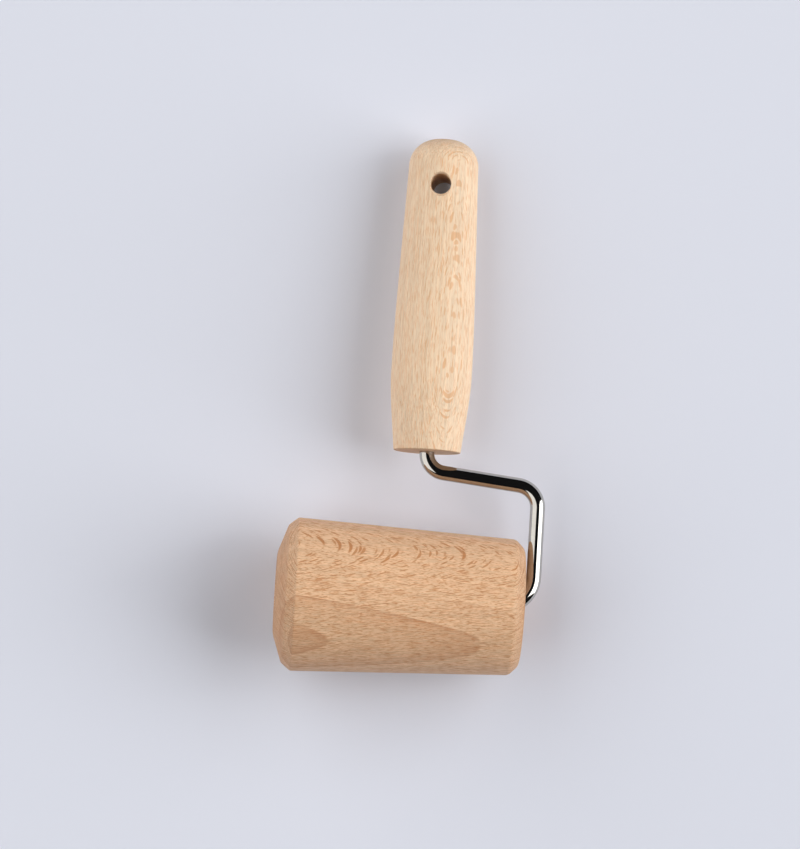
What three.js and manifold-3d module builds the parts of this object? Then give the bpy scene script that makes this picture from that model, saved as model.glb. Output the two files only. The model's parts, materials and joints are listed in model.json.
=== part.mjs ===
// Conical dough roller for rolling pastry out inside a tin: a tapered beech roller turns on the axle
// end of one bent steel wire, whose other end is driven into a turned beech handle.
// Millimetres, +Z up. The tool lies as it is put down on a table, on the side of its roller and on the
// butt of its handle. The origin is on the table, under the middle of the tool.
import * as THREE from "three";
import { mergeVertices } from "three/addons/utils/BufferGeometryUtils.js";
import Module from "manifold-3d";

// Roller: a cone between two arrises. Its large end is the crowned nose, its small end the heel, where
// the wire goes in.
const LARGE_DIAMETER = 51;
const SMALL_DIAMETER = 45.2;
const BODY_LENGTH = 72.6;
const NOSE_BEVEL_LENGTH = 3.1;
const NOSE_BEVEL_DEPTH = 2.6;
const NOSE_CROWN_LENGTH = 3.3;
const NOSE_CROWN_ROUND = 8;
const NOSE_FACE_DIAMETER = 27;
const HEEL_BEVEL = 3.1;

// Wire frame: from the handle the wire bends into a rising arm, bends again into the leg beside the
// heel, and a third time into the axle. Bend radii are those of the wire's middle line.
const WIRE_DIAMETER = 5;
const ROLLER_TO_ARM = 12.1;
const HEEL_TO_LEG = 1.1;
const ARM_RISE = 3.8;
const NECK_LENGTH = 0.3;
const NECK_BEND_RADIUS = 6.5;
const SHOULDER_BEND_RADIUS = 7.5;
const AXLE_BEND_RADIUS = 10.5;
const TIP_CHAMFER = 0.7;

// Tang: the straight end of the wire in the handle, with a band of raised splines that grips the wood.
const TANG_LENGTH = 55;
const SPLINE_COUNT = 12;
const SPLINE_HEIGHT = 0.3;
const SPLINE_LENGTH = 16;
const SPLINE_LEAD = 3;

// Stop ears: the wire is pinched flat beside the axle bend, so that two lobes stand out and stop a washer.
const PINCH_THICKNESS = 3.8;
const EAR_SPAN = 8.4;
const EAR_THICKNESS = 2.2;
const EAR_ROOT = 2.4;
const EAR_TIP = 1.4;
const EAR_FROM_BEND = 0.4;

// Handle: swells behind its flat front face, tapers to the butt and ends in a rounded butt.
const HANDLE_FROM_ARRIS = 41.3;
const HANDLE_LENGTH = 105;
const FRONT_DIAMETER = 22.4;
const SWELL_DIAMETER = 27;
const SWELL_FROM_FRONT = 27;
const BUTT_DIAMETER = 23.2;
const BUTT_ROUND_LENGTH = 9;
const BUTT_FACE_DIAMETER = 4.4;

// How full the handle's two long curves are: the reach of their control points, as shares of a curve's
// length and of the swell's height over the curve's thin end.
const FRONT_EASE = 0.35;
const FRONT_RISE = 0.4;
const SWELL_EASE = 0.35;
const TAPER_EASE = 0.25;
const BUTT_EASE = 0.28;
const BUTT_RISE = 0.3;

// Hang hole through the butt, drilled a little askew of the frame, with its rims broken by a chamfer.
const HANG_HOLE_DIAMETER = 6.9;
const HANG_HOLE_FROM_BUTT = 16.3;
const HANG_HOLE_TURN = THREE.MathUtils.degToRad(6);
const HANG_HOLE_CHAMFER = 0.5;

// Bushes: flanged nylon sleeves pressed into both ends of the roller.
const BUSH_WALL = 1.5;
const BUSH_SLEEVE_LENGTH = 12;
const BUSH_LEAD = 0.6;
const FLANGE_DIAMETER = 12;
const FLANGE_THICKNESS = 1.5;

// Washers, and the sprung cap pushed on the end of the axle.
const WASHER_DIAMETER = 10;
const WASHER_THICKNESS = 0.8;
const CAP_DIAMETER = 11.6;
const CAP_HEIGHT = 4;
const CAP_ROUND = 2;
const CAP_SHEET = 0.5;
const CAP_BELOW_FACE = 0.8;
const FINGER_PAIRS = 3;
const FINGER_SLOT = 0.9;

// Clearances: round a running shaft, between pieces that turn face to face, round pieces that are
// pressed or driven home, and round what stands free in a recess.
const RUNNING_CLEARANCE = 0.1;
const END_PLAY = 0.3;
const SEAT_GAP = 0.1;
const RECESS_CLEARANCE = 1;

// How finely round shapes are stepped.
const ROLLER_SEGMENTS = 72;
const HANDLE_SEGMENTS = 48;
const HARDWARE_SEGMENTS = 32;
const WIRE_SEGMENTS = 20;
const BEND_STEPS = 8;
const CURVE_STEPS = 8;
const EDGE_STEPS = 4;

// Places along the roller's axis, X, from the large arris at X = 0 towards the heel.
const wireRadius = WIRE_DIAMETER / 2;
const noseFaceX = -NOSE_BEVEL_LENGTH - NOSE_CROWN_LENGTH;
const heelFaceX = BODY_LENGTH + HEEL_BEVEL;
const legX = heelFaceX + HEEL_TO_LEG + wireRadius;
const bendEndX = legX - AXLE_BEND_RADIUS;
const earX = bendEndX - EAR_FROM_BEND - EAR_ROOT / 2;
const stopWasherX = earX - EAR_ROOT / 2 - SEAT_GAP - WASHER_THICKNESS;
const heelFlangeX = stopWasherX - END_PLAY - FLANGE_THICKNESS;
const heelSeatX = heelFlangeX - SEAT_GAP;
const capCrownX = noseFaceX + CAP_BELOW_FACE;
const capBaseX = capCrownX + CAP_HEIGHT;
const endWasherX = capBaseX + SEAT_GAP;
const noseFlangeX = endWasherX + WASHER_THICKNESS + END_PLAY;
const noseSeatX = noseFlangeX + FLANGE_THICKNESS + SEAT_GAP;
const axleTipX = capCrownX + CAP_SHEET + END_PLAY;

// Places across it in the plane of the frame, Y, from the axis towards the handle.
const shoulderY = LARGE_DIAMETER / 2 + ROLLER_TO_ARM + wireRadius;
const neckCornerY = shoulderY + ARM_RISE;
const armLean = Math.atan2(ARM_RISE, legX - HANDLE_FROM_ARRIS);
const neckBendReach = NECK_BEND_RADIUS * Math.tan((Math.PI / 2 - armLean) / 2);
const handleFrontY = neckCornerY + neckBendReach + NECK_LENGTH;
const tangTipY = handleFrontY + TANG_LENGTH;

// Radii that mating pieces share.
const boreRadius = wireRadius + RUNNING_CLEARANCE;
const sleeveRadius = boreRadius + BUSH_WALL;
const seatRadius = sleeveRadius + SEAT_GAP;
const innerBend = AXLE_BEND_RADIUS - wireRadius;
const bendReachAtFace = AXLE_BEND_RADIUS - Math.sqrt(innerBend ** 2 - (innerBend - HEEL_TO_LEG) ** 2);
const noseRecessRadius = Math.max(FLANGE_DIAMETER, WASHER_DIAMETER, CAP_DIAMETER) / 2 + RECESS_CLEARANCE;
const heelRecessRadius =
  Math.max(FLANGE_DIAMETER / 2, WASHER_DIAMETER / 2, EAR_SPAN / 2, bendReachAtFace) + RECESS_CLEARANCE;
const tangBoreRadius = wireRadius + SPLINE_HEIGHT + SEAT_GAP;

const wasm = await Module();
wasm.setup();

function toSolid(geometry) {
  const bare = geometry.clone();
  bare.deleteAttribute("normal");
  bare.deleteAttribute("uv");
  const merged = mergeVertices(bare);
  return new wasm.Manifold(new wasm.Mesh({
    numProp: 3,
    vertProperties: merged.attributes.position.array,
    triVerts: new Uint32Array(merged.index.array),
  }));
}

function toGeometry(solid) {
  const { vertProperties, triVerts } = solid.getMesh();
  const geometry = new THREE.BufferGeometry();
  geometry.setAttribute("position", new THREE.BufferAttribute(vertProperties, 3));
  geometry.setIndex(new THREE.BufferAttribute(triVerts, 1));
  geometry.computeVertexNormals();
  return geometry;
}

// A path through corners [x, y, round]. A corner with a round gets an arc of that radius.
function roundedPath(corners) {
  const points = corners.map(([x, y]) => new THREE.Vector2(x, y));
  const path = new THREE.Path();
  path.moveTo(points[0].x, points[0].y);
  for (let i = 1; i < points.length; i += 1) {
    const corner = points[i];
    const round = corners[i][2] ?? 0;
    if (round > 0) {
      const toPrevious = points[i - 1].clone().sub(corner).normalize();
      const toNext = points[i + 1].clone().sub(corner).normalize();
      const half = Math.acos(toPrevious.dot(toNext)) / 2;
      const inward = toPrevious.clone().add(toNext).normalize();
      const centre = corner.clone().addScaledVector(inward, round / Math.sin(half));
      const start = corner.clone().addScaledVector(toPrevious, round / Math.tan(half));
      const end = corner.clone().addScaledVector(toNext, round / Math.tan(half));
      const startAngle = start.clone().sub(centre).angle();
      const endAngle = end.clone().sub(centre).angle();
      path.lineTo(start.x, start.y);
      path.absarc(centre.x, centre.y, round, startAngle, endAngle, toPrevious.cross(toNext) > 0);
    } else {
      path.lineTo(corner.x, corner.y);
    }
  }
  return path;
}

// A solid of revolution from corners [radius, place along the axis, round], seen with the axis upright
// and listed anticlockwise.
function turned(corners, segments) {
  return new THREE.LatheGeometry(roundedPath(corners).getPoints(EDGE_STEPS / 2), segments);
}

// A curve that runs straight from station to station, one step each, so that a swept section gets its
// rings only where the wire bends.
class StationPath extends THREE.Curve {
  constructor(stations) {
    super();
    this.stations = stations;
  }

  getPoint(t, target = new THREE.Vector3()) {
    const last = this.stations.length - 1;
    const k = Math.min(Math.floor(t * last), last - 1);
    return target.lerpVectors(this.stations[k], this.stations[k + 1], t * last - k);
  }

  getUtoTmapping(u) {
    return u;
  }
}

const beech = { roughness: 0.55, metalness: 0 };
const rollerBeech = new THREE.MeshStandardMaterial({ color: 0xd3a67c, ...beech });
const handleBeech = new THREE.MeshStandardMaterial({ color: 0xdfbb8f, ...beech });
const brightWire = new THREE.MeshStandardMaterial({ color: 0xc9c7c3, roughness: 0.12, metalness: 1 });
const zincSheet = new THREE.MeshStandardMaterial({ color: 0xb9bcbf, roughness: 0.3, metalness: 1 });
const nylon = new THREE.MeshStandardMaterial({ color: 0xe9e4d6, roughness: 0.45, metalness: 0 });

const tool = new THREE.Group();
tool.name = "tool";

// What is turned about the roller's axis is drawn upright and laid along X here.
const axleLine = new THREE.Group();
axleLine.rotation.z = -Math.PI / 2;
tool.add(axleLine);

function addMesh(group, name, geometry, material) {
  const mesh = new THREE.Mesh(geometry, material);
  mesh.name = name;
  group.add(mesh);
}

// Roller, bored right through, with a recess in each end for what holds it on the axle.
const noseFaceRadius = NOSE_FACE_DIAMETER / 2;
const largeRadius = LARGE_DIAMETER / 2;
const smallRadius = SMALL_DIAMETER / 2;
const rollerGeometry = turned([
  [noseRecessRadius, noseFaceX],
  [noseFaceRadius, noseFaceX, NOSE_CROWN_ROUND],
  [largeRadius - NOSE_BEVEL_DEPTH, -NOSE_BEVEL_LENGTH],
  [largeRadius, 0],
  [smallRadius, BODY_LENGTH],
  [smallRadius - HEEL_BEVEL, heelFaceX],
  [heelRecessRadius, heelFaceX],
  [heelRecessRadius, heelSeatX],
  [seatRadius, heelSeatX],
  [seatRadius, noseSeatX],
  [noseRecessRadius, noseSeatX],
  [noseRecessRadius, noseFaceX],
], ROLLER_SEGMENTS);
addMesh(axleLine, "roller", rollerGeometry, rollerBeech);

// Bushes: the flange lies on the floor of the recess, the sleeve stands in the bore.
const flangeRadius = FLANGE_DIAMETER / 2;
const noseBushEndX = noseFlangeX + FLANGE_THICKNESS + BUSH_SLEEVE_LENGTH;
const noseBushGeometry = turned([
  [boreRadius, noseFlangeX],
  [flangeRadius, noseFlangeX],
  [flangeRadius, noseFlangeX + FLANGE_THICKNESS],
  [sleeveRadius, noseFlangeX + FLANGE_THICKNESS],
  [sleeveRadius, noseBushEndX - BUSH_LEAD],
  [sleeveRadius - BUSH_LEAD, noseBushEndX],
  [boreRadius, noseBushEndX],
  [boreRadius, noseFlangeX],
], HARDWARE_SEGMENTS);
addMesh(axleLine, "nose_bush", noseBushGeometry, nylon);

const heelBushEndX = heelFlangeX - BUSH_SLEEVE_LENGTH;
const heelBushGeometry = turned([
  [boreRadius, heelBushEndX],
  [sleeveRadius - BUSH_LEAD, heelBushEndX],
  [sleeveRadius, heelBushEndX + BUSH_LEAD],
  [sleeveRadius, heelFlangeX],
  [flangeRadius, heelFlangeX],
  [flangeRadius, heelFlangeX + FLANGE_THICKNESS],
  [boreRadius, heelFlangeX + FLANGE_THICKNESS],
  [boreRadius, heelBushEndX],
], HARDWARE_SEGMENTS);
addMesh(axleLine, "heel_bush", heelBushGeometry, nylon);

// Washers: one against the stop ears, one under the cap.
function washer(placeX) {
  return turned([
    [boreRadius, placeX],
    [WASHER_DIAMETER / 2, placeX],
    [WASHER_DIAMETER / 2, placeX + WASHER_THICKNESS],
    [boreRadius, placeX + WASHER_THICKNESS],
    [boreRadius, placeX],
  ], HARDWARE_SEGMENTS);
}
addMesh(axleLine, "stop_washer", washer(stopWasherX), zincSheet);
addMesh(axleLine, "end_washer", washer(endWasherX), zincSheet);

// Cap: a drawn cup whose base turns inwards as a ring, slotted into sprung fingers round the axle.
const capRadius = CAP_DIAMETER / 2;
const capInside = capRadius - CAP_SHEET;
const cup = toSolid(turned([
  [0, capCrownX],
  [capRadius, capCrownX, CAP_ROUND],
  [capRadius, capBaseX],
  [boreRadius, capBaseX],
  [boreRadius, capBaseX - CAP_SHEET],
  [capInside, capBaseX - CAP_SHEET],
  [capInside, capCrownX + CAP_SHEET, CAP_ROUND - CAP_SHEET],
  [0, capCrownX + CAP_SHEET],
], HARDWARE_SEGMENTS));
let slottedCup = cup;
for (let pair = 0; pair < FINGER_PAIRS; pair += 1) {
  const slotSpan = boreRadius + capInside;
  const slot = new THREE.BoxGeometry(slotSpan, CAP_SHEET * 2, FINGER_SLOT);
  slot.rotateY(pair * Math.PI / FINGER_PAIRS);
  slot.translate(0, capBaseX - CAP_SHEET / 2, 0);
  slottedCup = slottedCup.subtract(toSolid(slot));
}
addMesh(axleLine, "axle_cap", toGeometry(slottedCup), zincSheet);

// Axle frame: one wire swept from the tip of its tang to the tip of the axle, with the splines of the
// tang and the stop ears raised on it.
const wireLine = roundedPath([
  [HANDLE_FROM_ARRIS, tangTipY],
  [HANDLE_FROM_ARRIS, neckCornerY, NECK_BEND_RADIUS],
  [legX, shoulderY, SHOULDER_BEND_RADIUS],
  [legX, 0, AXLE_BEND_RADIUS],
  [axleTipX, 0],
]);
const stations = wireLine.getPoints(BEND_STEPS / 2).map(({ x, y }) => new THREE.Vector3(x, y, 0));
const wireSection = new THREE.Shape().absarc(0, 0, wireRadius, 0, Math.PI * 2, false);
const sweptWire = new THREE.ExtrudeGeometry(wireSection, {
  steps: stations.length - 1,
  curveSegments: WIRE_SEGMENTS / 2,
  extrudePath: new StationPath(stations),
});

const splineOutline = new THREE.Shape();
for (let i = 0; i < SPLINE_COUNT * 2; i += 1) {
  const reach = i % 2 === 0 ? wireRadius + SPLINE_HEIGHT : wireRadius - SPLINE_HEIGHT;
  const angle = i * Math.PI / SPLINE_COUNT;
  const x = reach * Math.cos(angle);
  const y = reach * Math.sin(angle);
  if (i === 0) {
    splineOutline.moveTo(x, y);
  } else {
    splineOutline.lineTo(x, y);
  }
}
const splines = new THREE.ExtrudeGeometry(splineOutline, { depth: SPLINE_LENGTH, bevelEnabled: false });
splines.rotateX(Math.PI / 2);
splines.translate(HANDLE_FROM_ARRIS, tangTipY - SPLINE_LEAD, 0);

const earOutline = new THREE.Shape();
earOutline.moveTo(-EAR_TIP / 2, -EAR_SPAN / 2);
earOutline.lineTo(EAR_TIP / 2, -EAR_SPAN / 2);
earOutline.lineTo(EAR_ROOT / 2, 0);
earOutline.lineTo(EAR_TIP / 2, EAR_SPAN / 2);
earOutline.lineTo(-EAR_TIP / 2, EAR_SPAN / 2);
earOutline.lineTo(-EAR_ROOT / 2, 0);
const ears = new THREE.ExtrudeGeometry(earOutline, { depth: EAR_THICKNESS, bevelEnabled: false });
ears.translate(earX, 0, -EAR_THICKNESS / 2);

const pinchJaw = new THREE.BoxGeometry(EAR_ROOT, WIRE_DIAMETER * 2, WIRE_DIAMETER);
const jawZ = (PINCH_THICKNESS + WIRE_DIAMETER) / 2;
const upperJaw = pinchJaw.clone().translate(earX, 0, jawZ);
const lowerJaw = pinchJaw.clone().translate(earX, 0, -jawZ);

// The cutter for a chamfered tip is a ring with a sloping inner side, drawn for a tip that points up.
const tipCutter = turned([
  [wireRadius - 2 * TIP_CHAMFER, TIP_CHAMFER],
  [wireRadius + TIP_CHAMFER, -2 * TIP_CHAMFER],
  [wireRadius + TIP_CHAMFER, TIP_CHAMFER],
  [wireRadius - 2 * TIP_CHAMFER, TIP_CHAMFER],
], HARDWARE_SEGMENTS);
const tangTipCutter = tipCutter.clone().translate(HANDLE_FROM_ARRIS, tangTipY, 0);
const axleTipCutter = tipCutter.clone().rotateZ(Math.PI / 2).translate(axleTipX, 0, 0);

let frameSolid = toSolid(sweptWire).add(toSolid(splines));
for (const cutter of [upperJaw, lowerJaw, tangTipCutter, axleTipCutter]) {
  frameSolid = frameSolid.subtract(toSolid(cutter));
}
frameSolid = frameSolid.add(toSolid(ears));
addMesh(tool, "axle_frame", toGeometry(frameSolid), brightWire);

// Handle: turned in one piece, bored for the tang from its front face and cross drilled in its butt.
const frontRadius = FRONT_DIAMETER / 2;
const swellRadius = SWELL_DIAMETER / 2;
const buttRadius = BUTT_DIAMETER / 2;
const buttFaceRadius = BUTT_FACE_DIAMETER / 2;
const taperEnd = HANDLE_LENGTH - BUTT_ROUND_LENGTH;
const taperLength = taperEnd - SWELL_FROM_FRONT;
const flareRadius = THREE.MathUtils.lerp(frontRadius, swellRadius, FRONT_RISE);
const waistRadius = THREE.MathUtils.lerp(buttRadius, swellRadius, BUTT_RISE);
const handleOutline = new THREE.Path();
handleOutline.moveTo(0, 0);
handleOutline.lineTo(frontRadius, 0);
handleOutline.bezierCurveTo(
  flareRadius, SWELL_FROM_FRONT * FRONT_EASE,
  swellRadius, SWELL_FROM_FRONT * (1 - SWELL_EASE),
  swellRadius, SWELL_FROM_FRONT,
);
handleOutline.bezierCurveTo(
  swellRadius, SWELL_FROM_FRONT + taperLength * TAPER_EASE,
  waistRadius, taperEnd - taperLength * BUTT_EASE,
  buttRadius, taperEnd,
);
const buttRound = buttRadius - buttFaceRadius;
handleOutline.absellipse(buttFaceRadius, taperEnd, buttRound, BUTT_ROUND_LENGTH, 0, Math.PI / 2, false);
handleOutline.lineTo(0, HANDLE_LENGTH);
const handleProfile = handleOutline.getPoints(CURVE_STEPS);
const blank = new THREE.LatheGeometry(handleProfile, HANDLE_SEGMENTS);

const tangBoreEnd = TANG_LENGTH + END_PLAY;
const tangBore = turned([
  [0, -END_PLAY],
  [tangBoreRadius, -END_PLAY],
  [tangBoreRadius, tangBoreEnd],
  [0, tangBoreEnd],
], HARDWARE_SEGMENTS);

// The hole's cutter is a spool: straight through the wood, opening at 45 degrees at both rims.
const holeRadius = HANG_HOLE_DIAMETER / 2;
const holeReach = buttRadius + HANG_HOLE_CHAMFER;
const rimDepth = buttRadius - HANG_HOLE_CHAMFER;
const rimRadius = holeRadius + holeReach - rimDepth;
const hangHole = turned([
  [0, -holeReach],
  [rimRadius, -holeReach],
  [holeRadius, -rimDepth],
  [holeRadius, rimDepth],
  [rimRadius, holeReach],
  [0, holeReach],
], HARDWARE_SEGMENTS);
hangHole.rotateX(Math.PI / 2);
hangHole.rotateY(-HANG_HOLE_TURN);
hangHole.translate(0, HANDLE_LENGTH - HANG_HOLE_FROM_BUTT, 0);

const handleSolid = toSolid(blank).subtract(toSolid(tangBore)).subtract(toSolid(hangHole));
const handleLine = new THREE.Group();
handleLine.position.set(HANDLE_FROM_ARRIS, handleFrontY, 0);
tool.add(handleLine);
addMesh(handleLine, "handle", toGeometry(handleSolid), handleBeech);

// Lay the tool down. It rolls by the half angle of the cone, until the cone's lowest line is level, and
// tips about the roller's axis until the first point of the handle's outline reaches the table.
const coneAngle = Math.atan2(largeRadius - smallRadius, BODY_LENGTH);
const radiusUnderHandle = largeRadius - HANDLE_FROM_ARRIS * Math.tan(coneAngle);
const axisHeight = radiusUnderHandle * Math.cos(coneAngle);
const dips = handleProfile.map(({ x: radius, y: along }) => {
  const reach = Math.hypot(handleFrontY + along, radius);
  return Math.asin(axisHeight / reach) - Math.atan2(radius, handleFrontY + along);
});
const dip = Math.min(...dips);
const tip = Math.asin(Math.sin(dip) / Math.cos(coneAngle));
tool.rotation.set(-tip, coneAngle, 0, "YXZ");

const part = new THREE.Group();
part.name = "dough_roller";
part.add(tool);
const box = new THREE.Box3().setFromObject(part, true);
const middle = box.getCenter(new THREE.Vector3());
tool.position.set(-middle.x, -middle.y, -box.min.z);

export default part;
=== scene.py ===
import json
import math

import bpy
from mathutils import Matrix, Vector
from mathutils.geometry import interpolate_bezier


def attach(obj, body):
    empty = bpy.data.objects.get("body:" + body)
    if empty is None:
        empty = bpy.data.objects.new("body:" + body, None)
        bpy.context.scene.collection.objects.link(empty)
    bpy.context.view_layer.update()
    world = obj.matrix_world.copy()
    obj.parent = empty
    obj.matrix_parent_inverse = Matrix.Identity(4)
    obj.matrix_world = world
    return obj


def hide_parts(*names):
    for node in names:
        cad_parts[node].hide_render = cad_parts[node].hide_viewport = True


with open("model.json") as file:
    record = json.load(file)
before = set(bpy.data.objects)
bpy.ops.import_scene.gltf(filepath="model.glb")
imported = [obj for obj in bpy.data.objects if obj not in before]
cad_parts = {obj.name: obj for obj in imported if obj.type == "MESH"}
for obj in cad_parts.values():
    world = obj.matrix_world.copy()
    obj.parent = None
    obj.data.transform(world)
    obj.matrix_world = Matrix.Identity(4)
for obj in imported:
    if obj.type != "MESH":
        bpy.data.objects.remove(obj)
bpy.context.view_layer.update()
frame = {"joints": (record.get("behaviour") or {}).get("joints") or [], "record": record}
bpy.context.scene.view_settings.view_transform = "Standard"


# Roller: one piece of steamed beech, turned to a cone. Its large end is a bevelled and crowned nose, its
# small end a bevelled heel. It is bored through, with a recess in each end for the bush and its fixings.
# Outlines are in millimetres, along the roller's axis from the large arris and out from the axis.
MM = 0.001
LARGE_RADIUS = 25.5
SMALL_RADIUS = 22.6
BODY_LENGTH = 72.6
NOSE_FACE = -6.4
NOSE_FACE_RADIUS = 13.5
NOSE_CROWN_EASE = 1.4
NOSE_BEVEL = -3.1
NOSE_BEVEL_RADIUS = 22.9
HEEL_FACE = 75.7
HEEL_FACE_RADIUS = 19.5
NOSE_RECESS_RADIUS = 7.0
HEEL_RECESS_RADIUS = 7.45
NOSE_SEAT = 1.2
HEEL_SEAT = 63.2
SEAT_RADIUS = 4.2
ARRIS_EASE = 0.45
HEEL_EASE = 1.0
RIM_EASE = 0.3
EASE_STEPS = 6
ROLLER_STEPS = 192
SAME_PLACE = 0.001
SMOOTH_ANGLE = math.radians(32)

# The tool lies on the side of its cone and on the butt of its handle. Its own X goes along the roller's
# joint from the large arris, and its own Y square to that, towards the middle of the hang hole.
roller_spin = frame["joints"][0]
hang_hole = next(mount for mount in frame["record"]["mounts"] if mount["name"] == "hang_hole")
spin_axis = Vector(roller_spin["axis"]).normalized()
large_arris = Vector(roller_spin["pos_m"]) - spin_axis * BODY_LENGTH / 2 * MM
tool_up = spin_axis.cross(Vector(hang_hole["pos_m"]) - large_arris).normalized()
tool_turn = Matrix((spin_axis, tool_up.cross(spin_axis), tool_up)).transposed().to_4x4()
tool_lie = Matrix.Translation(large_arris) @ tool_turn


def pick(piece, wanted):
    """In edit mode, select the vertices whose place passes the test, and nothing else."""
    bpy.ops.object.mode_set(mode="OBJECT")
    for part in (piece.data.vertices, piece.data.edges, piece.data.polygons):
        part.foreach_set("select", [False] * len(part))
    for vertex in piece.data.vertices:
        vertex.select = wanted(vertex.co / MM)
    bpy.ops.object.mode_set(mode="EDIT")


def turn(name, outline, steps):
    """Draw an outline of (along, radius, ease) corners, ease its corners and spin it round the X axis."""
    bpy.ops.object.select_all(action="DESELECT")
    bpy.ops.mesh.primitive_plane_add(size=MM)
    piece = bpy.context.object
    piece.name = name
    bpy.ops.object.mode_set(mode="EDIT")
    bpy.ops.mesh.merge(type="CENTER")
    corners = [Vector((along, 0, radius)) for along, radius, ease in outline]
    bpy.ops.transform.translate(value=corners[0] * MM)
    for here, there in zip(corners, corners[1:]):
        bpy.ops.mesh.extrude_region_move(TRANSFORM_OT_translate={"value": (there - here) * MM})
    for ease in sorted({ease for along, radius, ease in outline if ease > 0}):
        eased = [corner for corner, (along, radius, own) in zip(corners, outline) if own == ease]
        pick(piece, lambda place: any((place - corner).length < SAME_PLACE for corner in eased))
        bpy.ops.mesh.bevel(affect="VERTICES", offset=ease * MM, segments=EASE_STEPS)
    bpy.ops.mesh.select_all(action="SELECT")
    bpy.ops.mesh.spin(steps=steps, angle=math.tau, center=(0, 0, 0), axis=(1, 0, 0))
    bpy.ops.mesh.select_all(action="SELECT")
    bpy.ops.mesh.remove_doubles(threshold=SAME_PLACE * MM)
    bpy.ops.mesh.normals_make_consistent(inside=False)
    bpy.ops.object.mode_set(mode="OBJECT")
    return piece


def lay(piece, place=Matrix()):
    """Put a piece where it sits on the tool, lay it down with the tool and keep its place in its mesh."""
    bpy.ops.object.select_all(action="DESELECT")
    piece.select_set(True)
    bpy.context.view_layer.objects.active = piece
    piece.matrix_world = tool_lie @ place
    bpy.ops.object.transform_apply(location=True, rotation=True, scale=True)
    bpy.ops.object.shade_smooth_by_angle(angle=SMOOTH_ANGLE)


turned_roller = turn("turned_roller", [
    (NOSE_FACE, NOSE_RECESS_RADIUS + RIM_EASE, 0),
    (NOSE_FACE, NOSE_FACE_RADIUS, NOSE_CROWN_EASE),
    (NOSE_BEVEL, NOSE_BEVEL_RADIUS, ARRIS_EASE),
    (0, LARGE_RADIUS, ARRIS_EASE),
    (BODY_LENGTH, SMALL_RADIUS, HEEL_EASE),
    (HEEL_FACE, HEEL_FACE_RADIUS, HEEL_EASE),
    (HEEL_FACE, HEEL_RECESS_RADIUS, RIM_EASE),
    (HEEL_SEAT, HEEL_RECESS_RADIUS, 0),
    (HEEL_SEAT, SEAT_RADIUS, 0),
    (NOSE_SEAT, SEAT_RADIUS, 0),
    (NOSE_SEAT, NOSE_RECESS_RADIUS, 0),
    (NOSE_FACE + RIM_EASE, NOSE_RECESS_RADIUS, 0),
    (NOSE_FACE, NOSE_RECESS_RADIUS + RIM_EASE, 0),
], ROLLER_STEPS)
lay(turned_roller)


def srgb(red, green, blue):
    """A screen colour, each part from 11 to 255, as the linear values that a shader takes."""
    toe = 0.055
    power = 2.4
    return (*[((shown / 255 + toe) / (1 + toe)) ** power for shown in (red, green, blue)], 1)


def wire_up(tree, value, socket):
    """Give a socket a fixed value, or link it to another node's output."""
    if isinstance(value, bpy.types.NodeSocket):
        tree.links.new(value, socket)
    else:
        socket.default_value = value


def calculate(tree, operation, *values):
    """A Math node on numbers and outputs."""
    node = tree.nodes.new("ShaderNodeMath")
    node.operation = operation
    for value, socket in zip(values, node.inputs):
        wire_up(tree, value, socket)
    return node.outputs[0]


def fade(tree, value, start, end):
    """Rise smoothly from 0 at start to 1 at end."""
    node = tree.nodes.new("ShaderNodeMapRange")
    node.interpolation_type = "SMOOTHSTEP"
    wire_up(tree, value, node.inputs["Value"])
    wire_up(tree, start, node.inputs["From Min"])
    wire_up(tree, end, node.inputs["From Max"])
    return node.outputs[0]


def stretch(tree, point, run):
    """Scale a point unevenly, so that a noise read there runs out along the axes with a small scale."""
    node = tree.nodes.new("ShaderNodeVectorMath")
    node.operation = "MULTIPLY"
    tree.links.new(point, node.inputs[0])
    node.inputs[1].default_value = run
    return node.outputs[0]


def noise(tree, point, waves, detail):
    """A soft noise from about -0.5 to 0.5, with so many waves to a unit of the point."""
    node = tree.nodes.new("ShaderNodeTexNoise")
    tree.links.new(point, node.inputs["Vector"])
    node.inputs["Scale"].default_value = waves
    node.inputs["Detail"].default_value = detail
    return calculate(tree, "SUBTRACT", node.outputs[0], 0.5)


def blend_colours(tree, share, first, second):
    """Mix two colours by a share from 0 to 1."""
    node = tree.nodes.new("ShaderNodeMix")
    node.data_type = "RGBA"
    wire_up(tree, share, node.inputs["Factor"])
    wire_up(tree, first, node.inputs[6])
    wire_up(tree, second, node.inputs[7])
    return node.outputs[2]


# Rays of beech: how far apart the leaves stand, along the fibres, round the pith and out from it, how thin
# they are, and how far each reaches in its cell.
LARGE_RAY_SPACING = (5.4, 0.44, 12)
LARGE_RAY_THINNESS = 1.8
SMALL_RAY_SPACING = (4.4, 0.3, 6)
SMALL_RAY_THINNESS = 1.5
SMALL_RAY_SHARE = 0.9
RAY_ARC_RADIUS = 105
RAY_LEAST_REACH = 0.25
RAY_MORE_REACH = 0.22
RAY_CORE_SHARE = 0.6
RAY_END_WIDENING = 0.4

# Fibres of beech: how far they sway aside, and the broad bands, the fine fibres and the pores among them.
SWAY = 0.4
SWAY_RUN = (1, 1, 0.2)
SWAY_WAVES = 0.12
FIBRE_RUN = (0.03, 1, 1)
BAND_WAVES = 0.25
FIBRE_WAVES = 2.2
PORE_RUN = (0.075, 1, 1)
PORE_WAVES = 4.5
PORE_EDGE = 0.01
PORE_CORE = -0.19
PORE_SHARE = 0.95

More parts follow.
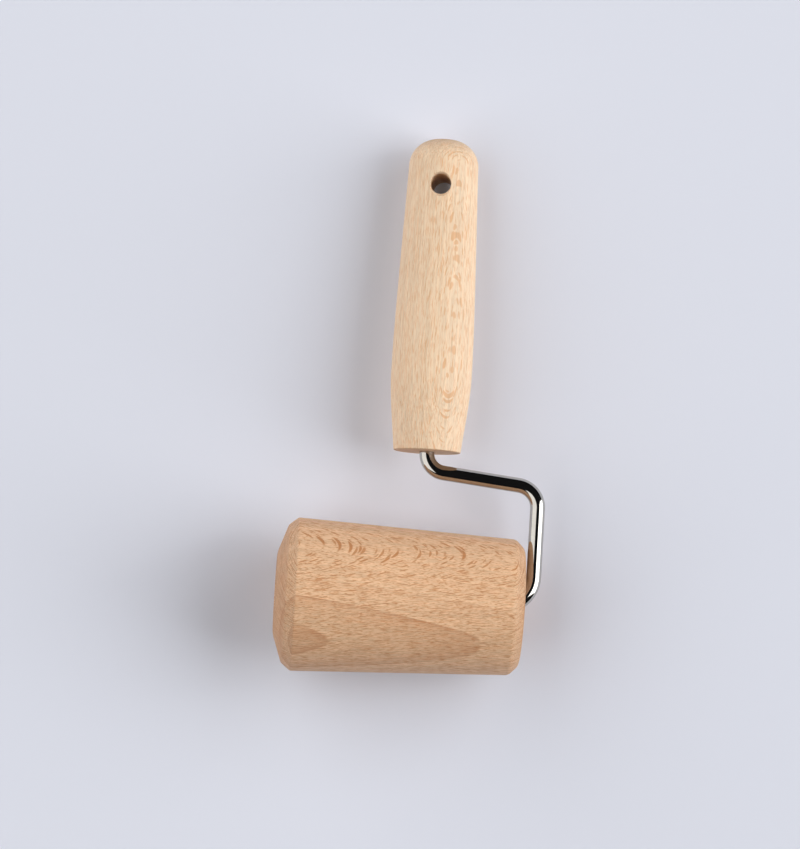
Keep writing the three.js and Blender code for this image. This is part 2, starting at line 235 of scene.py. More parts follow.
# Year rings of beech: how they wander and fray, how the late wood darkens towards its end, how abruptly the
# year ends, and how strongly the years outside the first ring show.
WANDER = 1.6
WANDER_RUN = (0.2, 1, 1)
WANDER_WAVES = 0.06
RING_FRAY = 0.3
LATE_SLOPE = 0.55
LATE_LINE = 0.45
LATE_LINE_POWER = 10
YEAR_END = 0.97
OUTER_YEARS = 0.4
OUTER_BLUR = 0.03
PATCH_PALE = -0.35
PATCH_DARK = 0.15

# Surface of sanded beech: the tone of bands and fibres, end grain darker in tone and open ends darker
# towards the ray colour, partly the real look of end grain and partly painted shade on flat ends facing
# away from the lamps, the gloss and the relief.
BAND_TONE = 0.3
FIBRE_TONE = 0.5
END_GRAIN_AND_SHADE_TONE = -0.2
END_GRAIN_AND_SHADE_POWER = 1.5
OPEN_END_AND_SHADE_DARKENING = 0.55
OPEN_END_AND_SHADE_POWER = 8
WOOD_ROUGHNESS = 0.55
FIBRE_ROUGHNESS = 0.16
PORE_RELIEF = 0.6
RAY_RELIEF = -0.3
WOOD_RELIEF_STRENGTH = 0.35
WOOD_RELIEF_DEPTH = 0.06
WOOD_SPECULAR = 0.32


def ray_leaves(tree, along, arc, depth, spacing, thinness, widening):
    """Wood rays as thin leaves out from the pith, spaced (along, arc, depth) millimetres apart."""
    place = tree.nodes.new("ShaderNodeCombineXYZ")
    for value, length, socket in zip((along, arc, depth), spacing, place.inputs):
        tree.links.new(calculate(tree, "DIVIDE", value, length), socket)
    cells = tree.nodes.new("ShaderNodeTexVoronoi")
    tree.links.new(place.outputs[0], cells.inputs["Vector"])
    cells.inputs["Scale"].default_value = 1
    offset = tree.nodes.new("ShaderNodeVectorMath")
    offset.operation = "SUBTRACT"
    tree.links.new(place.outputs[0], offset.inputs[0])
    tree.links.new(cells.outputs["Position"], offset.inputs[1])
    reach = tree.nodes.new("ShaderNodeVectorMath")
    reach.operation = "LENGTH"
    tree.links.new(stretch(tree, offset.outputs[0], (1, thinness, 1)), reach.inputs[0])
    chance = tree.nodes.new("ShaderNodeSeparateColor")
    tree.links.new(cells.outputs["Color"], chance.inputs[0])
    edge = calculate(tree, "MULTIPLY_ADD", chance.outputs[0], RAY_MORE_REACH, RAY_LEAST_REACH)
    edge = calculate(tree, "MULTIPLY", edge, widening)
    core = calculate(tree, "MULTIPLY", edge, RAY_CORE_SHARE)
    return fade(tree, reach.outputs["Value"], edge, core)


def beech_grain():
    """The figure of beech in a log whose pith is the X axis: year rings, fibres and rays, points in mm."""
    tree = bpy.data.node_groups.new("beech grain", "ShaderNodeTree")
    for name, kind in (
        ("Log Point", "NodeSocketVector"),
        ("End Grain", "NodeSocketFloat"),
        ("Early Wood", "NodeSocketColor"),
        ("Late Wood", "NodeSocketColor"),
        ("Ray", "NodeSocketColor"),
        ("First Ring", "NodeSocketFloat"),
        ("Ring Width", "NodeSocketFloat"),
        ("Ring Strength", "NodeSocketFloat"),
        ("Ray Strength", "NodeSocketFloat"),
    ):
        tree.interface.new_socket(name, in_out="INPUT", socket_type=kind)
    for name, kind in (
        ("Colour", "NodeSocketColor"),
        ("Roughness", "NodeSocketFloat"),
        ("Height", "NodeSocketFloat"),
    ):
        tree.interface.new_socket(name, in_out="OUTPUT", socket_type=kind)
    given = tree.nodes.new("NodeGroupInput").outputs
    made = tree.nodes.new("NodeGroupOutput").inputs
    axes = tree.nodes.new("ShaderNodeSeparateXYZ")
    tree.links.new(given["Log Point"], axes.inputs[0])
    along, straight, out = axes.outputs

    # Fibres: they sway a little, in broad bands and in fine streaks, with the dashes of the pores.
    sway = noise(tree, stretch(tree, given["Log Point"], SWAY_RUN), SWAY_WAVES, detail=0)
    aside = calculate(tree, "MULTIPLY_ADD", sway, SWAY, straight)
    swayed = tree.nodes.new("ShaderNodeCombineXYZ")
    for value, socket in zip((along, aside, out), swayed.inputs):
        tree.links.new(value, socket)
    point = swayed.outputs[0]
    bands = noise(tree, stretch(tree, point, FIBRE_RUN), BAND_WAVES, detail=3)
    fibres = noise(tree, stretch(tree, point, FIBRE_RUN), FIBRE_WAVES, detail=3)
    speckle = noise(tree, stretch(tree, point, PORE_RUN), PORE_WAVES, detail=2)
    pores = calculate(tree, "MULTIPLY", fade(tree, speckle, PORE_EDGE, PORE_CORE), PORE_SHARE)

    # Year rings: each goes from pale early wood to darker late wood and ends abruptly.
    wander = noise(tree, stretch(tree, point, WANDER_RUN), WANDER_WAVES, detail=2)
    spread = calculate(tree, "ADD", calculate(tree, "POWER", aside, 2), calculate(tree, "POWER", out, 2))
    depth = calculate(tree, "MULTIPLY_ADD", wander, WANDER, calculate(tree, "SQRT", spread))
    depth = calculate(tree, "MULTIPLY_ADD", fibres, RING_FRAY, depth)
    from_first = calculate(tree, "SUBTRACT", depth, given["First Ring"])
    years = calculate(tree, "DIVIDE", from_first, given["Ring Width"])
    season = calculate(tree, "FRACT", years)
    line = calculate(tree, "MULTIPLY", calculate(tree, "POWER", season, LATE_LINE_POWER), LATE_LINE)
    ripening = calculate(tree, "MULTIPLY_ADD", season, LATE_SLOPE, line)
    late = calculate(tree, "MULTIPLY", ripening, fade(tree, season, 1, YEAR_END))
    inner = fade(tree, years, OUTER_BLUR, -OUTER_BLUR)
    strong = calculate(tree, "MULTIPLY_ADD", inner, 1 - OUTER_YEARS, OUTER_YEARS)
    patchy = calculate(tree, "MULTIPLY", fade(tree, bands, PATCH_PALE, PATCH_DARK), strong)
    ring = calculate(tree, "MULTIPLY", calculate(tree, "MULTIPLY", late, patchy), given["Ring Strength"])

    # Rays: dashes along the grain where the wood is cut across them, broad flecks where it is cut along,
    # and wider lines on end grain.
    arc = calculate(tree, "MULTIPLY", calculate(tree, "ARCTAN2", aside, out), RAY_ARC_RADIUS)
    end_share = calculate(tree, "POWER", given["End Grain"], 2)
    widening = calculate(tree, "MULTIPLY_ADD", end_share, RAY_END_WIDENING, 1)
    large_rays = ray_leaves(tree, along, arc, depth, LARGE_RAY_SPACING, LARGE_RAY_THINNESS, widening)
    small_rays = ray_leaves(tree, along, arc, depth, SMALL_RAY_SPACING, SMALL_RAY_THINNESS, widening)
    rays = calculate(tree, "MAXIMUM", large_rays, calculate(tree, "MULTIPLY", small_rays, SMALL_RAY_SHARE))

    # Colour: the rings, stained by rays, pores and open ends, the last partly painted shade, in the tone of
    # the fibres.
    wood = blend_colours(tree, ring, given["Early Wood"], given["Late Wood"])
    # Partly painted shade: flat end grain, such as the handle's front face, is darkened towards the ray
    # colour beyond the darker look that end grain has.
    open_ends_and_shade = calculate(tree, "POWER", given["End Grain"], OPEN_END_AND_SHADE_POWER)
    stain_and_end_shade = calculate(tree, "MAXIMUM", rays, pores)
    stain_and_end_shade = calculate(tree, "MAXIMUM", stain_and_end_shade, calculate(tree, "MULTIPLY", open_ends_and_shade, OPEN_END_AND_SHADE_DARKENING))
    stain_and_end_shade = calculate(tree, "MULTIPLY", stain_and_end_shade, given["Ray Strength"])
    wood = blend_colours(tree, stain_and_end_shade, wood, given["Ray"])
    # Partly painted shade: end grain is darkened in tone, for its own darker look and for the shade on ends
    # that face away from the lamps.
    end_grain_and_shade = calculate(tree, "POWER", given["End Grain"], END_GRAIN_AND_SHADE_POWER)
    tone = calculate(tree, "MULTIPLY_ADD", bands, BAND_TONE, 1)
    tone = calculate(tree, "MULTIPLY_ADD", fibres, FIBRE_TONE, tone)
    tone = calculate(tree, "MULTIPLY_ADD", end_grain_and_shade, END_GRAIN_AND_SHADE_TONE, tone)
    toned = tree.nodes.new("ShaderNodeVectorMath")
    toned.operation = "SCALE"
    tree.links.new(wood, toned.inputs[0])
    tree.links.new(tone, toned.inputs["Scale"])
    tree.links.new(toned.outputs[0], made["Colour"])

    # Gloss and relief follow the fibres. Pores and rays lie a little deeper.
    roughness = calculate(tree, "MULTIPLY_ADD", fibres, FIBRE_ROUGHNESS, WOOD_ROUGHNESS)
    tree.links.new(roughness, made["Roughness"])
    relief = calculate(tree, "MULTIPLY_ADD", speckle, PORE_RELIEF, fibres)
    tree.links.new(calculate(tree, "MULTIPLY_ADD", rays, RAY_RELIEF, relief), made["Height"])
    return tree


def lie_in_log(middle, pith_side, pith_away, fibre):
    """Where the log that a blank was sawn from lies: X along its pith, Z from the pith to the blank."""
    along = fibre.normalized()
    aside = along.cross(pith_side).normalized()
    axes = Matrix((along, aside, along.cross(aside))).transposed().to_4x4()
    pith = Matrix.Translation((middle + pith_side * pith_away) * MM)
    return tool_lie @ pith @ axes


def beech(name, log, fibre, values):
    """Bare sanded beech: the grain group round the blank's own pith, with a fine relief."""
    material = bpy.data.materials.new(name)
    material.use_nodes = True
    tree = material.node_tree
    shader = tree.nodes["Principled BSDF"]
    shader.inputs["Specular IOR Level"].default_value = WOOD_SPECULAR
    place = tree.nodes.new("ShaderNodeTexCoord")
    in_log = tree.nodes.new("ShaderNodeMapping")
    in_log.vector_type = "TEXTURE"
    in_log.inputs["Location"].default_value = log.to_translation()
    in_log.inputs["Rotation"].default_value = log.to_euler()
    in_log.inputs["Scale"].default_value = (MM, MM, MM)
    tree.links.new(place.outputs["Object"], in_log.inputs["Vector"])
    facing = tree.nodes.new("ShaderNodeVectorMath")
    facing.operation = "DOT_PRODUCT"
    tree.links.new(place.outputs["Normal"], facing.inputs[0])
    facing.inputs[1].default_value = tool_turn.to_3x3() @ fibre.normalized()
    grain = tree.nodes.new("ShaderNodeGroup")
    grain.node_tree = beech_figure
    tree.links.new(in_log.outputs[0], grain.inputs["Log Point"])
    tree.links.new(calculate(tree, "ABSOLUTE", facing.outputs["Value"]), grain.inputs["End Grain"])
    for socket, value in values.items():
        grain.inputs[socket].default_value = value
    relief = tree.nodes.new("ShaderNodeBump")
    relief.inputs["Strength"].default_value = WOOD_RELIEF_STRENGTH
    relief.inputs["Distance"].default_value = WOOD_RELIEF_DEPTH * MM
    tree.links.new(grain.outputs["Height"], relief.inputs["Height"])
    tree.links.new(grain.outputs["Colour"], shader.inputs["Base Color"])
    tree.links.new(grain.outputs["Roughness"], shader.inputs["Roughness"])
    tree.links.new(relief.outputs[0], shader.inputs["Normal"])
    return material


# The roller's blank: the pith lies above it, on the side away from the handle, and the fibres run a little
# askew to its axis.
ROLLER_LOG_MIDDLE = Vector((36, 0, 0))
ROLLER_PITH_AWAY = 109
ROLLER_PITH_SLANT = math.radians(37)
ROLLER_FIBRE_RISE = 0.06
ROLLER_FIBRE_DRIFT = 0.065

beech_figure = beech_grain()
roller_pith_side = Vector((0, -math.sin(ROLLER_PITH_SLANT), math.cos(ROLLER_PITH_SLANT)))
quarter_side = Vector((0, math.cos(ROLLER_PITH_SLANT), math.sin(ROLLER_PITH_SLANT)))
roller_fibre = Vector((1, 0, 0)) + roller_pith_side * ROLLER_FIBRE_RISE + quarter_side * ROLLER_FIBRE_DRIFT
roller_log = lie_in_log(ROLLER_LOG_MIDDLE, roller_pith_side, ROLLER_PITH_AWAY, roller_fibre)
turned_roller.data.materials.append(beech("roller beech", roller_log, roller_fibre, {
    "Early Wood": srgb(233, 194, 157),
    "Late Wood": srgb(196, 146, 110),
    "Ray": srgb(188, 121, 68),
    "First Ring": 87.4,
    "Ring Width": 4.84,
    "Ring Strength": 0.95,
    "Ray Strength": 0.85,
}))
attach(turned_roller, "roller")
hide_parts("roller")


# Bushes: two flanged sleeves of natural nylon, moulded, and pressed into the bore from both ends of the
# roller. Each flange lies on the floor of its recess and carries the roller's thrust.
WIRE_RADIUS = 2.5
RUNNING_GAP = 0.1
SEAT_GAP = 0.1
SLEEVE_LENGTH = 12.0
SLEEVE_LEAD = 0.6
FLANGE_RADIUS = 6.0
FLANGE_THICKNESS = 1.5
MOULD_EASE = 0.25
SMALL_STEPS = 96


def copy_piece(piece, name):
    """A copy with its own mesh."""
    copy = piece.copy()
    copy.data = piece.data.copy()
    copy.name = name
    bpy.context.collection.objects.link(copy)
    return copy


def along_axle(along):
    """Where a piece that starts at X = 0 goes on the axle."""
    return Matrix.Translation((along * MM, 0, 0))


axle_bore = WIRE_RADIUS + RUNNING_GAP
sleeve_radius = SEAT_RADIUS - SEAT_GAP
bush_length = FLANGE_THICKNESS + SLEEVE_LENGTH
nose_flange = NOSE_SEAT - SEAT_GAP - FLANGE_THICKNESS
heel_flange_end = HEEL_SEAT + SEAT_GAP + FLANGE_THICKNESS
nose_sleeve = turn("nose_sleeve", [
    (MOULD_EASE, axle_bore, 0),
    (0, axle_bore + MOULD_EASE, 0),
    (0, FLANGE_RADIUS, MOULD_EASE),
    (FLANGE_THICKNESS, FLANGE_RADIUS, MOULD_EASE),
    (FLANGE_THICKNESS, sleeve_radius, 0),
    (bush_length - SLEEVE_LEAD, sleeve_radius, 0),
    (bush_length, sleeve_radius - SLEEVE_LEAD, 0),
    (bush_length, axle_bore, 0),
    (MOULD_EASE, axle_bore, 0),
], SMALL_STEPS)
heel_sleeve = copy_piece(nose_sleeve, "heel_sleeve")
lay(nose_sleeve, along_axle(nose_flange))
lay(heel_sleeve, along_axle(heel_flange_end) @ Matrix.Rotation(math.pi, 4, "Z"))


def cloudy_skin(name, metallic, colours, clouds, detail, roughness, uneven, grains, run, strength, depth):
    """A skin that is a little cloudy in colour and gloss, with a fine relief.

    Clouds and grains are counted to a metre, and the depth of the relief is in millimetres.
    """
    material = bpy.data.materials.new(name)
    material.use_nodes = True
    tree = material.node_tree
    shader = tree.nodes["Principled BSDF"]
    shader.inputs["Metallic"].default_value = metallic
    spot = tree.nodes.new("ShaderNodeTexCoord").outputs["Object"]
    cloud = noise(tree, spot, clouds, detail)
    cloudy = calculate(tree, "ADD", cloud, 0.5)
    tree.links.new(blend_colours(tree, cloudy, *colours), shader.inputs["Base Color"])
    gloss = calculate(tree, "MULTIPLY_ADD", cloud, uneven, roughness)
    tree.links.new(gloss, shader.inputs["Roughness"])
    relief = tree.nodes.new("ShaderNodeBump")
    relief.inputs["Strength"].default_value = strength
    relief.inputs["Distance"].default_value = depth * MM
    tree.links.new(noise(tree, stretch(tree, spot, run), grains, detail=2), relief.inputs["Height"])
    tree.links.new(relief.outputs[0], shader.inputs["Normal"])
    return material


nylon = cloudy_skin(
    "natural nylon",
    metallic=0,
    colours=(srgb(224, 219, 204), srgb(240, 236, 226)),
    clouds=260,
    detail=2,
    roughness=0.45,
    uneven=0.2,
    grains=6000,
    run=(1, 1, 1),
    strength=0.25,
    depth=0.02,
)
for sleeve, node in ((nose_sleeve, "nose_bush"), (heel_sleeve, "heel_bush")):
    sleeve.data.materials.append(nylon)
    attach(sleeve, "roller")
    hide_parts(node)


# Wire frame: one length of 5 mm steel wire, bent cold in three places and bright plated. Its tang is
# splined and driven into the handle. The other end is the axle, pinched beside its bend into stop ears.
WIRE_SIDES = 48
BEND_RINGS = 24
TIP_CHAMFER = 0.7
HANDLE_LINE = 41.3
HEEL_TO_LEG = 1.1
ROLLER_TO_ARM = 12.1
ARM_RISE = 3.8
NECK_LENGTH = 0.3
NECK_BEND = 6.5
SHOULDER_BEND = 7.5
AXLE_BEND = 10.5
TANG_LENGTH = 55.0
SPLINE_LEAD = 3.0
SPLINE_LENGTH = 16.0
SPLINE_RAMP = 0.6
SPLINE_HEIGHT = 0.3
SPLINE_EVERY = 4
END_PLAY = 0.3
WASHER_THICKNESS = 0.8
EAR_ROOT_WIDTH = 2.4
EAR_TIP_WIDTH = 1.4
EAR_REACH = 4.2
EAR_HALF_ANGLE = math.radians(31)
PINCH_SHARE = 0.76
PINCH_SPREAD = 1.1
CAP_BELOW_FACE = 0.8
CAP_SHEET = 0.5
AXLE_REACH = 3
RING_REACH = 0.01

leg_line = HEEL_FACE + HEEL_TO_LEG + WIRE_RADIUS
shoulder_line = LARGE_RADIUS + ROLLER_TO_ARM + WIRE_RADIUS
neck_line = shoulder_line + ARM_RISE
axle_corner = Vector((leg_line, 0, 0))
shoulder_corner = Vector((leg_line, shoulder_line, 0))
neck_corner = Vector((HANDLE_LINE, neck_line, 0))
neck_sweep = math.pi / 2 - math.atan2(ARM_RISE, leg_line - HANDLE_LINE)
handle_front = neck_line + NECK_BEND * math.tan(neck_sweep / 2) + NECK_LENGTH
tang_tip = handle_front + TANG_LENGTH
spline_start = tang_tip - SPLINE_LEAD
spline_end = spline_start - SPLINE_LENGTH
spline_ridge = 1 + SPLINE_HEIGHT / WIRE_RADIUS
stop_washer_place = heel_flange_end + END_PLAY
ear_middle = stop_washer_place + WASHER_THICKNESS + SEAT_GAP + EAR_ROOT_WIDTH / 2
cap_crown = NOSE_FACE + CAP_BELOW_FACE
axle_tip = cap_crown + CAP_SHEET + END_PLAY

bpy.ops.object.select_all(action="DESELECT")
bpy.ops.mesh.primitive_circle_add(
    vertices=WIRE_SIDES,
    radius=(WIRE_RADIUS - TIP_CHAMFER) * MM,
    location=Vector((HANDLE_LINE, tang_tip, 0)) * MM,
    rotation=(math.pi / 2, 0, 0),
)
wire = bpy.context.object
wire.name = "bent_wire_frame"
bpy.ops.object.transform_apply(location=True, rotation=True, scale=True)
bpy.ops.object.mode_set(mode="EDIT")
bpy.ops.mesh.select_all(action="SELECT")
bpy.ops.mesh.edge_face_add()
bpy.ops.mesh.select_all(action="SELECT")


def draw_wire(start, end, swell=1):
    """Draw the selected end of the wire on in a straight line, and thicken or thin it there."""
    bpy.ops.mesh.extrude_region_move(TRANSFORM_OT_translate={"value": (end - start) * MM})
    if swell != 1:
        bpy.ops.transform.resize(value=(swell, swell, swell), center_override=end * MM)


def bend_wire(corner, before, after, radius):
    """Draw the wire straight up to a bend, then spin it round the bend. Gives where the bend ends."""
    coming = (corner - before).normalized()
    going = (after - corner).normalized()
    sweep = coming.xy.angle_signed(going.xy)
    tangent = radius * math.tan(abs(sweep) / 2)
    start = corner - coming * tangent
    side = Vector((-coming.y, coming.x, 0)) * (-1 if sweep > 0 else 1)
    draw_wire(before, start)
    bpy.ops.mesh.spin(
        steps=BEND_RINGS,
        angle=sweep,
        center=(start + side * radius) * MM,
        axis=(0, 0, 1),
    )
    return corner + going * tangent


def on_handle_line(along):
    """A place on the tang's middle line."""
    return Vector((HANDLE_LINE, along, 0))


def on_axle(along):
    """A place on the axle's middle line."""
    return Vector((along, 0, 0))


ridge_start = spline_start - SPLINE_RAMP
ridge_end = spline_end + SPLINE_RAMP
reached = on_handle_line(tang_tip - TIP_CHAMFER)
draw_wire(on_handle_line(tang_tip), reached, WIRE_RADIUS / (WIRE_RADIUS - TIP_CHAMFER))
for place in (spline_start, ridge_start, ridge_end, spline_end):
    draw_wire(reached, on_handle_line(place))
    reached = on_handle_line(place)
reached = bend_wire(neck_corner, reached, shoulder_corner, NECK_BEND)
reached = bend_wire(shoulder_corner, reached, axle_corner, SHOULDER_BEND)
reached = bend_wire(axle_corner, reached, on_axle(axle_tip), AXLE_BEND)
ear_widths = (EAR_ROOT_WIDTH, EAR_TIP_WIDTH, -EAR_TIP_WIDTH, -EAR_ROOT_WIDTH)
for place in (*[ear_middle + width / 2 for width in ear_widths], axle_tip + TIP_CHAMFER):
    draw_wire(reached, on_axle(place))
    reached = on_axle(place)
draw_wire(reached, on_axle(axle_tip), 1 - TIP_CHAMFER / WIRE_RADIUS)


def is_ridge(place, ring):
    """Whether a vertex is in a ring of the tang, on one of the lines that stand proud."""
    line = round(math.atan2(place.z, place.x - HANDLE_LINE) / math.tau * WIRE_SIDES)
    return abs(place.y - ring) < RING_REACH and line % SPLINE_EVERY == 0


# Every fourth line of the tang's splined length stands proud.
for ring in (ridge_start, ridge_end):
    pick(wire, lambda place: is_ridge(place, ring))
    bpy.ops.transform.resize(
        value=(spline_ridge, 1, spline_ridge),
        center_override=on_handle_line(ring) * MM,
    )

# The pinch flattens the wire, and the metal that it moves stands out on both sides as ears.
pinched_radius = WIRE_RADIUS * PINCH_SPREAD
ear_start = pinched_radius * math.cos(EAR_HALF_ANGLE)


def in_pinch(place):
    """Whether a vertex is in the pinched length of the axle."""
    return abs(place.x - ear_middle) < EAR_TIP_WIDTH / 2 + RING_REACH and place.y < AXLE_REACH


pick(wire, in_pinch)
bpy.ops.transform.resize(value=(1, PINCH_SPREAD, PINCH_SHARE), center_override=on_axle(ear_middle) * MM)
for side in (-1, 1):
    pick(wire, lambda place: in_pinch(place) and ear_start < place.y * side < AXLE_REACH)
    bpy.ops.mesh.extrude_region_move(TRANSFORM_OT_translate={
        "value": (0, side * (EAR_REACH - pinched_radius) * MM, 0),
    })
bpy.ops.mesh.select_all(action="SELECT")
bpy.ops.mesh.remove_doubles(threshold=SAME_PLACE * MM)
bpy.ops.mesh.normals_make_consistent(inside=False)
bpy.ops.object.mode_set(mode="OBJECT")
lay(wire)

wire.data.materials.append(cloudy_skin(
    "bright plate",
    metallic=1,
    colours=(srgb(180, 177, 172), srgb(197, 194, 189)),
    clouds=420,
    detail=3,
    roughness=0.07,
    uneven=0.06,
    grains=1500,
    run=(1, 1, 1),
    strength=0.12,
    depth=0.02,
))
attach(wire, "frame")
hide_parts("axle_frame")


# Washers: two stamped rings of zinc plated sheet, loose on the axle, one between the stop ears and the
# heel bush and one between the nose bush and the cap.
WASHER_RADIUS = 5.0
STAMPED_EASE = 0.2

end_washer_place = nose_flange - END_PLAY - WASHER_THICKNESS
inner_washer = turn("inner_washer", [
    (0, axle_bore, 0),
    (0, WASHER_RADIUS, STAMPED_EASE),
    (WASHER_THICKNESS, WASHER_RADIUS, STAMPED_EASE),
    (WASHER_THICKNESS, axle_bore, 0),
    (0, axle_bore, 0),
], SMALL_STEPS)
outer_washer = copy_piece(inner_washer, "outer_washer")
lay(inner_washer, along_axle(stop_washer_place))
lay(outer_washer, along_axle(end_washer_place))

zinc = cloudy_skin(
    "zinc plate",
    metallic=1,
    colours=(srgb(168, 171, 174), srgb(202, 204, 206)),
    clouds=700,
    detail=3,
    roughness=0.3,
    uneven=0.25,
    grains=9000,
    run=(0.1, 1, 0.1),
    strength=0.2,
    depth=0.01,
)
for washer, node in ((inner_washer, "stop_washer"), (outer_washer, "end_washer")):
    washer.data.materials.append(zinc)
    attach(washer, "frame")
    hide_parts(node)


# Cap: a cup drawn from zinc plated spring sheet and pushed on the end of the axle, where it can't come
# off again. Its base turns inwards, slotted into six sprung fingers that grip the axle.
CAP_RADIUS = 5.8
CAP_HEIGHT = 4.0
CAP_ROUND = 2.0
FINGER_SLOT = 0.9
FINGER_PAIRS = 3

cap_inside = CAP_RADIUS - CAP_SHEET
push_on_cap = turn("push_on_cap", [
    (0, 0, 0),
    (0, CAP_RADIUS, CAP_ROUND),
    (CAP_HEIGHT, CAP_RADIUS, STAMPED_EASE),
    (CAP_HEIGHT, axle_bore, 0),
    (CAP_HEIGHT - CAP_SHEET, axle_bore, 0),
    (CAP_HEIGHT - CAP_SHEET, cap_inside, 0),
    (CAP_SHEET, cap_inside, CAP_ROUND - CAP_SHEET),
    (CAP_SHEET, 0, 0),
], SMALL_STEPS)


def cut(piece, cutter):
    """Take a cutter's shape out of a piece and throw the cutter away."""
    bpy.ops.object.select_all(action="DESELECT")
    piece.select_set(True)
    bpy.context.view_layer.objects.active = piece
    bpy.ops.object.modifier_add(type="BOOLEAN")
    piece.modifiers[-1].object = cutter
    bpy.ops.object.modifier_apply(modifier=piece.modifiers[-1].name)
    bpy.data.objects.remove(cutter)


for pair in range(FINGER_PAIRS):
    bpy.ops.object.select_all(action="DESELECT")
    bpy.ops.mesh.primitive_cube_add(
        size=1,
        location=((CAP_HEIGHT - CAP_SHEET / 2) * MM, 0, 0),
        rotation=(pair * math.pi / FINGER_PAIRS, 0, 0),
        scale=(CAP_SHEET * 2 * MM, FINGER_SLOT * MM, (axle_bore + cap_inside) * MM),
    )
    cut(push_on_cap, bpy.context.object)
lay(push_on_cap, along_axle(cap_crown))
push_on_cap.data.materials.append(zinc)
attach(push_on_cap, "frame")
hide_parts("axle_cap")


# Handle: one piece of paler beech, turned with a swell behind its flat front face and a rounded butt.
# It is bored for the tang from the front and cross drilled in the butt, to hang the tool up by.
HANDLE_LENGTH = 105.0
HANDLE_STEPS = 160
FRONT_RADIUS = 11.2
FRONT_EASE = 0.35
SWELL_RADIUS = 13.5
SWELL_PLACE = 27.0
SWELL_LEAVES = 0.35
SWELL_LEAVES_RISE = 0.4
SWELL_ARRIVES = 0.65
SWELL_POINTS = 20
BUTT_RADIUS = 11.6
BUTT_LENGTH = 9.0
BUTT_FACE_RADIUS = 2.2
BUTT_POINTS = 16
TAPER_LEAVES = 0.25
TAPER_ARRIVES = 0.28
TAPER_ARRIVES_FALL = 0.3
TAPER_POINTS = 36
QUARTER_ROUND = 0.5523
HANG_HOLE_RADIUS = 3.45
HANG_HOLE_FROM_BUTT = 16.3
HANG_HOLE_TURN = math.radians(6)
HANG_HOLE_CHAMFER = 0.5
DRILL_STEPS = 64


def curve(start, leave, arrive, end, points):
    """Points of an outline's curve after its first, as corners with no ease."""
    line = interpolate_bezier(*[Vector((*corner, 0)) for corner in (start, leave, arrive, end)], points)
    return [(corner.x, corner.y, 0) for corner in line[1:]]


tang_bore = WIRE_RADIUS + SPLINE_HEIGHT + SEAT_GAP
tang_bore_depth = TANG_LENGTH + END_PLAY
butt_start = HANDLE_LENGTH - BUTT_LENGTH
taper = butt_start - SWELL_PLACE
rise = SWELL_RADIUS - FRONT_RADIUS
fall = SWELL_RADIUS - BUTT_RADIUS
butt_round = BUTT_RADIUS - BUTT_FACE_RADIUS
turned_handle = turn("turned_handle", [
    (tang_bore_depth, 0, 0),
    (tang_bore_depth, tang_bore, 0),
    (0, tang_bore, 0),
    (0, FRONT_RADIUS, FRONT_EASE),
    *curve(
        (0, FRONT_RADIUS),
        (SWELL_PLACE * SWELL_LEAVES, FRONT_RADIUS + rise * SWELL_LEAVES_RISE),
        (SWELL_PLACE * SWELL_ARRIVES, SWELL_RADIUS),
        (SWELL_PLACE, SWELL_RADIUS),
        SWELL_POINTS,
    ),
    *curve(
        (SWELL_PLACE, SWELL_RADIUS),
        (SWELL_PLACE + taper * TAPER_LEAVES, SWELL_RADIUS),
        (butt_start - taper * TAPER_ARRIVES, BUTT_RADIUS + fall * TAPER_ARRIVES_FALL),
        (butt_start, BUTT_RADIUS),
        TAPER_POINTS,
    ),
    *curve(
        (butt_start, BUTT_RADIUS),
        (butt_start + BUTT_LENGTH * QUARTER_ROUND, BUTT_RADIUS),
        (HANDLE_LENGTH, BUTT_FACE_RADIUS + butt_round * QUARTER_ROUND),
        (HANDLE_LENGTH, BUTT_FACE_RADIUS),
        BUTT_POINTS,
    ),
    (HANDLE_LENGTH, 0, 0),
], HANDLE_STEPS)
hole_end = BUTT_RADIUS + HANG_HOLE_CHAMFER
hole_rim = BUTT_RADIUS - HANG_HOLE_CHAMFER
hole_end_radius = HANG_HOLE_RADIUS + hole_end - hole_rim
drill = turn("drill", [
    (-hole_end, 0, 0),
    (-hole_end, hole_end_radius, 0),
    (-hole_rim, HANG_HOLE_RADIUS, 0),
    (hole_rim, HANG_HOLE_RADIUS, 0),
    (hole_end, hole_end_radius, 0),
    (hole_end, 0, 0),
], DRILL_STEPS)
drill.matrix_world = (
    Matrix.Translation(((HANDLE_LENGTH - HANG_HOLE_FROM_BUTT) * MM, 0, 0))
    @ Matrix.Rotation(-HANG_HOLE_TURN, 4, "X")
    @ Matrix.Rotation(math.pi / 2, 4, "Y")
)
cut(turned_handle, drill)
handle_place = Matrix.Translation(on_handle_line(handle_front) * MM)
lay(turned_handle, handle_place @ Matrix.Rotation(math.pi / 2, 4, "Z"))

# The handle's blank: the pith lies beside it, up on the left, and the fibres run nearly along its axis.
HANDLE_PITH_AWAY = 95
HANDLE_PITH_SLANT = math.radians(58)
HANDLE_FIBRE_FALL = 0.015

handle_middle = on_handle_line(handle_front + HANDLE_LENGTH / 2)
handle_pith_side = Vector((-math.sin(HANDLE_PITH_SLANT), 0, math.cos(HANDLE_PITH_SLANT)))
handle_fibre = Vector((0, 1, 0)) - handle_pith_side * HANDLE_FIBRE_FALL
handle_log = lie_in_log(handle_middle, handle_pith_side, HANDLE_PITH_AWAY, handle_fibre)
turned_handle.data.materials.append(beech("handle beech", handle_log, handle_fibre, {
    "Early Wood": srgb(240, 214, 184),
    "Late Wood": srgb(216, 179, 142),
    "Ray": srgb(217, 150, 86),
    "First Ring": 80,
    "Ring Width": 3.2,
    "Ring Strength": 0.6,
    "Ray Strength": 0.55,
}))
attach(turned_handle, "frame")
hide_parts("handle")


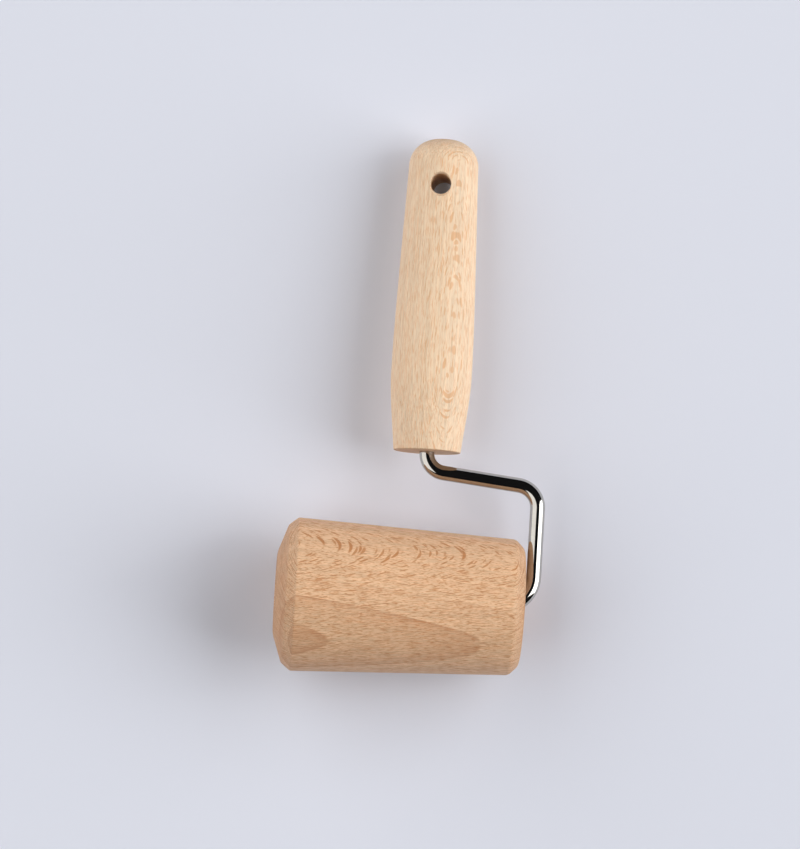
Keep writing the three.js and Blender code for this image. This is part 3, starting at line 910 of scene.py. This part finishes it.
# Studio: a plain pale table, a tall soft window on the right, a broad slanting reflector on the left that
# leaves a dark gap overhead for the bright wire, a small fill that the wire does not mirror, and a camera
# straight above the tool.
TABLE_SIZE = 40
TABLE_COLOUR = srgb(225, 229, 242)
TABLE_ROUGHNESS = 0.9
ROOM_COLOUR = (0.012, 0.012, 0.013, 1)
CAMERA_PLACE = (-5.84 * MM, -6.23 * MM, 1.525)
CAMERA_TURN = math.radians(3.6)
CAMERA_LENS = 191.4

bpy.ops.object.select_all(action="DESELECT")
bpy.ops.mesh.primitive_plane_add(size=TABLE_SIZE)
table = bpy.context.object
table.name = "table"
pale = bpy.data.materials.new("pale table")
pale.use_nodes = True
pale.node_tree.nodes["Principled BSDF"].inputs["Base Color"].default_value = TABLE_COLOUR
pale.node_tree.nodes["Principled BSDF"].inputs["Roughness"].default_value = TABLE_ROUGHNESS
table.data.materials.append(pale)


def soft_lamp(name, place, degrees, size, power, colour):
    """A rectangular soft light that faces along its own -Z."""
    lamp = bpy.data.lights.new(name, "AREA")
    lamp.shape = "RECTANGLE"
    lamp.size, lamp.size_y = size
    lamp.energy = power
    lamp.color = colour
    holder = bpy.data.objects.new(name, lamp)
    holder.location = place
    holder.rotation_euler = [math.radians(angle) for angle in degrees]
    bpy.context.collection.objects.link(holder)
    return holder


soft_lamp(
    "window",
    place=(5, 0, 4.5),
    degrees=(0, 90, 0),
    size=(8.5, 4),
    power=408,
    colour=(1, 0.99, 0.97),
)
soft_lamp(
    "reflector",
    place=(-4, 3, 2.9),
    degrees=(0, -45, 0),
    size=(7, 13),
    power=405,
    colour=(1, 0.98, 0.95),
)
fill = soft_lamp(
    "fill",
    place=(4, 3, 4),
    degrees=(-30, 38, 0),
    size=(4, 4),
    power=115,
    colour=(1, 1, 1),
)
fill.visible_glossy = False

room = bpy.data.worlds.new("room")
room.use_nodes = True
room.node_tree.nodes["Background"].inputs["Color"].default_value = ROOM_COLOUR
bpy.context.scene.world = room

camera = bpy.data.objects.new("camera", bpy.data.cameras.new("camera"))
camera.location = CAMERA_PLACE
camera.rotation_euler = (0, 0, CAMERA_TURN)
camera.data.lens = CAMERA_LENS
bpy.context.collection.objects.link(camera)
bpy.context.scene.camera = camera
